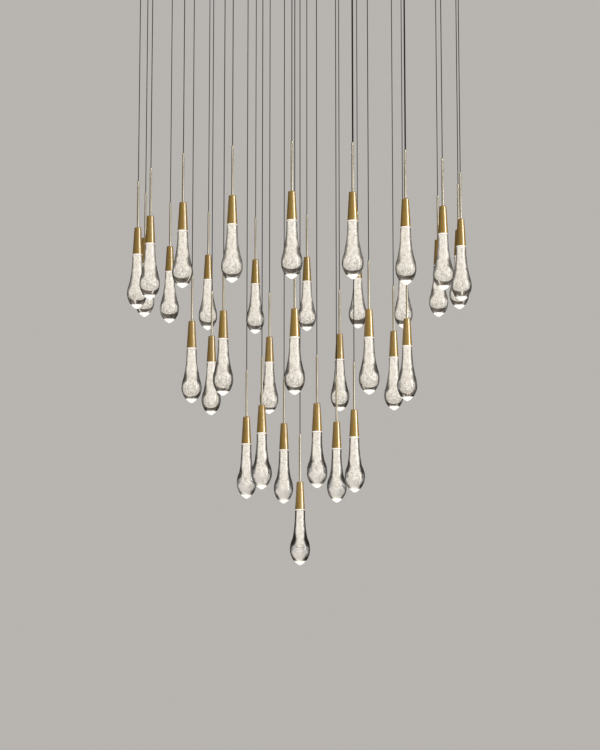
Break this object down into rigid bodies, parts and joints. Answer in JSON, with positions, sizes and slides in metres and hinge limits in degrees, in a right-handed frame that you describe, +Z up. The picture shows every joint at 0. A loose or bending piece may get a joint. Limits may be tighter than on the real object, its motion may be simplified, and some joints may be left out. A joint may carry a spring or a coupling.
{
  "type": "multi-pendant ceiling chandelier",
  "caption": "Ceiling chandelier of solid seeded-glass drops with brass cones and stems, hung on thin cables in rings under a round canopy.",
  "frame": {"origin": "centre of the ceiling plate's top face, which lies on the ceiling", "axes": "+Z up, towards the ceiling; -Y is the front, where the outer ring's first pendant hangs; +X is to the right"},
  "size_m": [1.2199, 1.224, 2.334],
  "materials": {
    "satin_brass": "brushed satin",
    "zinc_steel": "zinc plated",
    "grommet_rubber": "matt",
    "driver_case": "matt white",
    "white_plastic": "matt",
    "cable_sheath": "dark grey, smooth",
    "bare_aluminium": "turned",
    "clear_ring": "clear plastic, lit",
    "seeded_glass": "polished, seeded inside"
  },
  "bodies": {
    "canopy": {"ceiling_plate": "zinc_steel", "canopy_pan": "satin_brass", "canopy_studs": "zinc_steel", "canopy_dome_nuts": "satin_brass", "supply_grommet": "grommet_rubber", "cable_grips": "satin_brass", "grip_nuts": "zinc_steel", "led_driver_1": "driver_case", "led_driver_2": "driver_case", "led_driver_3": "driver_case", "driver_screws": "zinc_steel", "terminal_block": "white_plastic", "earth_stud": "zinc_steel", "earth_nut": "zinc_steel", "tier_1_loom": "cable_sheath", "tier_2_loom": "cable_sheath", "tier_3_loom": "cable_sheath", "tier_1_cables": "cable_sheath", "tier_2_cables": "cable_sheath", "tier_3_cables": "cable_sheath", "bottom_cable": "cable_sheath"},
    "tier_1_pendant_01": {"tier_1_pendant_01": "seeded_glass"},
    "tier_1_pendant_02": {"tier_1_pendant_02": "seeded_glass"},
    "tier_1_pendant_03": {"tier_1_pendant_03": "seeded_glass"},
    "tier_1_pendant_04": {"tier_1_pendant_04": "seeded_glass"},
    "tier_1_pendant_05": {"tier_1_pendant_05": "seeded_glass"},
    "tier_1_pendant_06": {"tier_1_pendant_06": "seeded_glass"},
    "tier_1_pendant_07": {"tier_1_pendant_07": "seeded_glass"},
    "tier_1_pendant_08": {"tier_1_pendant_08": "seeded_glass"},
    "tier_1_pendant_09": {"tier_1_pendant_09": "seeded_glass"},
    "tier_1_pendant_10": {"tier_1_pendant_10": "seeded_glass"},
    "tier_1_pendant_11": {"tier_1_pendant_11": "seeded_glass"},
    "tier_1_pendant_12": {"tier_1_pendant_12": "seeded_glass"},
    "tier_1_pendant_13": {"tier_1_pendant_13": "seeded_glass"},
    "tier_1_pendant_14": {"tier_1_pendant_14": "seeded_glass"},
    "tier_1_pendant_15": {"tier_1_pendant_15": "seeded_glass"},
    "tier_1_pendant_16": {"tier_1_pendant_16": "seeded_glass"},
    "tier_1_pendant_17": {"tier_1_pendant_17": "seeded_glass"},
    "tier_1_pendant_18": {"tier_1_pendant_18": "seeded_glass"},
    "tier_2_pendant_01": {"tier_2_pendant_01": "seeded_glass"},
    "tier_2_pendant_02": {"tier_2_pendant_02": "seeded_glass"},
    "tier_2_pendant_03": {"tier_2_pendant_03": "seeded_glass"},
    "tier_2_pendant_04": {"tier_2_pendant_04": "seeded_glass"},
    "tier_2_pendant_05": {"tier_2_pendant_05": "seeded_glass"},
    "tier_2_pendant_06": {"tier_2_pendant_06": "seeded_glass"},
    "tier_2_pendant_07": {"tier_2_pendant_07": "seeded_glass"},
    "tier_2_pendant_08": {"tier_2_pendant_08": "seeded_glass"},
    "tier_2_pendant_09": {"tier_2_pendant_09": "seeded_glass"},
    "tier_3_pendant_01": {"tier_3_pendant_01": "seeded_glass"},
    "tier_3_pendant_02": {"tier_3_pendant_02": "seeded_glass"},
    "tier_3_pendant_03": {"tier_3_pendant_03": "seeded_glass"},
    "tier_3_pendant_04": {"tier_3_pendant_04": "seeded_glass"},
    "tier_3_pendant_05": {"tier_3_pendant_05": "seeded_glass"},
    "tier_3_pendant_06": {"tier_3_pendant_06": "seeded_glass"},
    "bottom_pendant": {"bottom_stem": "satin_brass", "bottom_cone": "satin_brass", "bottom_led_module": "bare_aluminium", "bottom_light_ring": "clear_ring", "bottom_glass_drop": "seeded_glass"}
  },
  "joints": [
    {"name": "tier_1_pendant_01_swing", "type": "hinge", "parent": "canopy", "child": "tier_1_pendant_01", "pos_m": [0, -0.576, -0.973], "axis": [-1, 0, 0], "range_deg": [-10, 10]},
    {"name": "tier_1_pendant_02_swing", "type": "hinge", "parent": "canopy", "child": "tier_1_pendant_02", "pos_m": [0.197, -0.54126, -0.969], "axis": [-0.9397, -0.342, 0], "range_deg": [-10, 10]},
    {"name": "tier_1_pendant_03_swing", "type": "hinge", "parent": "canopy", "child": "tier_1_pendant_03", "pos_m": [0.37025, -0.44124, -0.971], "axis": [-0.766, -0.6428, 0], "range_deg": [-10, 10]},
    {"name": "tier_1_pendant_04_swing", "type": "hinge", "parent": "canopy", "child": "tier_1_pendant_04", "pos_m": [0.49883, -0.288, -0.962], "axis": [-0.5, -0.866, 0], "range_deg": [-10, 10]},
    {"name": "tier_1_pendant_05_swing", "type": "hinge", "parent": "canopy", "child": "tier_1_pendant_05", "pos_m": [0.56725, -0.10002, -0.967], "axis": [-0.1736, -0.9848, 0], "range_deg": [-10, 10]},
    {"name": "tier_1_pendant_06_swing", "type": "hinge", "parent": "canopy", "child": "tier_1_pendant_06", "pos_m": [0.56725, 0.10002, -0.962], "axis": [0.1736, -0.9848, 0], "range_deg": [-10, 10]},
    {"name": "tier_1_pendant_07_swing", "type": "hinge", "parent": "canopy", "child": "tier_1_pendant_07", "pos_m": [0.49883, 0.288, -0.958], "axis": [0.5, -0.866, 0], "range_deg": [-10, 10]},
    {"name": "tier_1_pendant_08_swing", "type": "hinge", "parent": "canopy", "child": "tier_1_pendant_08", "pos_m": [0.37025, 0.44124, -0.976], "axis": [0.766, -0.6428, 0], "range_deg": [-10, 10]},
    {"name": "tier_1_pendant_09_swing", "type": "hinge", "parent": "canopy", "child": "tier_1_pendant_09", "pos_m": [0.197, 0.54126, -0.959], "axis": [0.9397, -0.342, 0], "range_deg": [-10, 10]},
    {"name": "tier_1_pendant_10_swing", "type": "hinge", "parent": "canopy", "child": "tier_1_pendant_10", "pos_m": [0, 0.576, -0.962], "axis": [1, 0, 0], "range_deg": [-10, 10]},
    {"name": "tier_1_pendant_11_swing", "type": "hinge", "parent": "canopy", "child": "tier_1_pendant_11", "pos_m": [-0.197, 0.54126, -0.977], "axis": [0.9397, 0.342, 0], "range_deg": [-10, 10]},
    {"name": "tier_1_pendant_12_swing", "type": "hinge", "parent": "canopy", "child": "tier_1_pendant_12", "pos_m": [-0.37025, 0.44124, -0.977], "axis": [0.766, 0.6428, 0], "range_deg": [-10, 10]},
    {"name": "tier_1_pendant_13_swing", "type": "hinge", "parent": "canopy", "child": "tier_1_pendant_13", "pos_m": [-0.49883, 0.288, -0.974], "axis": [0.5, 0.866, 0], "range_deg": [-10, 10]},
    {"name": "tier_1_pendant_14_swing", "type": "hinge", "parent": "canopy", "child": "tier_1_pendant_14", "pos_m": [-0.56725, 0.10002, -0.981], "axis": [0.1736, 0.9848, 0], "range_deg": [-10, 10]},
    {"name": "tier_1_pendant_15_swing", "type": "hinge", "parent": "canopy", "child": "tier_1_pendant_15", "pos_m": [-0.56725, -0.10002, -0.986], "axis": [-0.1736, 0.9848, 0], "range_deg": [-10, 10]},
    {"name": "tier_1_pendant_16_swing", "type": "hinge", "parent": "canopy", "child": "tier_1_pendant_16", "pos_m": [-0.49883, -0.288, -0.986], "axis": [-0.5, 0.866, 0], "range_deg": [-10, 10]},
    {"name": "tier_1_pendant_17_swing", "type": "hinge", "parent": "canopy", "child": "tier_1_pendant_17", "pos_m": [-0.37025, -0.44124, -0.975], "axis": [-0.766, 0.6428, 0], "range_deg": [-10, 10]},
    {"name": "tier_1_pendant_18_swing", "type": "hinge", "parent": "canopy", "child": "tier_1_pendant_18", "pos_m": [-0.197, -0.54126, -0.977], "axis": [-0.9397, 0.342, 0], "range_deg": [-10, 10]},
    {"name": "tier_2_pendant_01_swing", "type": "hinge", "parent": "canopy", "child": "tier_2_pendant_01", "pos_m": [0, -0.383, -1.327], "axis": [-1, 0, 0], "range_deg": [-10, 10]},
    {"name": "tier_2_pendant_02_swing", "type": "hinge", "parent": "canopy", "child": "tier_2_pendant_02", "pos_m": [0.24619, -0.2934, -1.316], "axis": [-0.766, -0.6428, 0], "range_deg": [-10, 10]},
    {"name": "tier_2_pendant_03_swing", "type": "hinge", "parent": "canopy", "child": "tier_2_pendant_03", "pos_m": [0.37718, -0.06651, -1.312], "axis": [-0.1736, -0.9848, 0], "range_deg": [-10, 10]},
    {"name": "tier_2_pendant_04_swing", "type": "hinge", "parent": "canopy", "child": "tier_2_pendant_04", "pos_m": [0.33169, 0.1915, -1.315], "axis": [0.5, -0.866, 0], "range_deg": [-10, 10]},
    {"name": "tier_2_pendant_05_swing", "type": "hinge", "parent": "canopy", "child": "tier_2_pendant_05", "pos_m": [0.13099, 0.3599, -1.298], "axis": [0.9397, -0.342, 0], "range_deg": [-10, 10]},
    {"name": "tier_2_pendant_06_swing", "type": "hinge", "parent": "canopy", "child": "tier_2_pendant_06", "pos_m": [-0.13099, 0.3599, -1.307], "axis": [0.9397, 0.342, 0], "range_deg": [-10, 10]},
    {"name": "tier_2_pendant_07_swing", "type": "hinge", "parent": "canopy", "child": "tier_2_pendant_07", "pos_m": [-0.33169, 0.1915, -1.329], "axis": [0.5, 0.866, 0], "range_deg": [-10, 10]},
    {"name": "tier_2_pendant_08_swing", "type": "hinge", "parent": "canopy", "child": "tier_2_pendant_08", "pos_m": [-0.37718, -0.06651, -1.315], "axis": [-0.1736, 0.9848, 0], "range_deg": [-10, 10]},
    {"name": "tier_2_pendant_09_swing", "type": "hinge", "parent": "canopy", "child": "tier_2_pendant_09", "pos_m": [-0.24619, -0.2934, -1.317], "axis": [-0.766, 0.6428, 0], "range_deg": [-10, 10]},
    {"name": "tier_3_pendant_01_swing", "type": "hinge", "parent": "canopy", "child": "tier_3_pendant_01", "pos_m": [0.06635, -0.1823, -1.622], "axis": [-0.9397, -0.342, 0], "range_deg": [-10, 10]},
    {"name": "tier_3_pendant_02_swing", "type": "hinge", "parent": "canopy", "child": "tier_3_pendant_02", "pos_m": [0.19105, -0.03369, -1.627], "axis": [-0.1736, -0.9848, 0], "range_deg": [-10, 10]},
    {"name": "tier_3_pendant_03_swing", "type": "hinge", "parent": "canopy", "child": "tier_3_pendant_03", "pos_m": [0.1247, 0.14861, -1.65], "axis": [0.766, -0.6428, 0], "range_deg": [-10, 10]},
    {"name": "tier_3_pendant_04_swing", "type": "hinge", "parent": "canopy", "child": "tier_3_pendant_04", "pos_m": [-0.06635, 0.1823, -1.651], "axis": [0.9397, 0.342, 0], "range_deg": [-10, 10]},
    {"name": "tier_3_pendant_05_swing", "type": "hinge", "parent": "canopy", "child": "tier_3_pendant_05", "pos_m": [-0.19105, 0.03369, -1.643], "axis": [0.1736, 0.9848, 0], "range_deg": [-10, 10]},
    {"name": "tier_3_pendant_06_swing", "type": "hinge", "parent": "canopy", "child": "tier_3_pendant_06", "pos_m": [-0.1247, -0.14861, -1.623], "axis": [-0.766, 0.6428, 0], "range_deg": [-10, 10]},
    {"name": "bottom_pendant_swing", "type": "hinge", "parent": "canopy", "child": "bottom_pendant", "pos_m": [0, 0, -1.877], "axis": [-1, 0, 0], "range_deg": [-10, 10]}
  ]
}
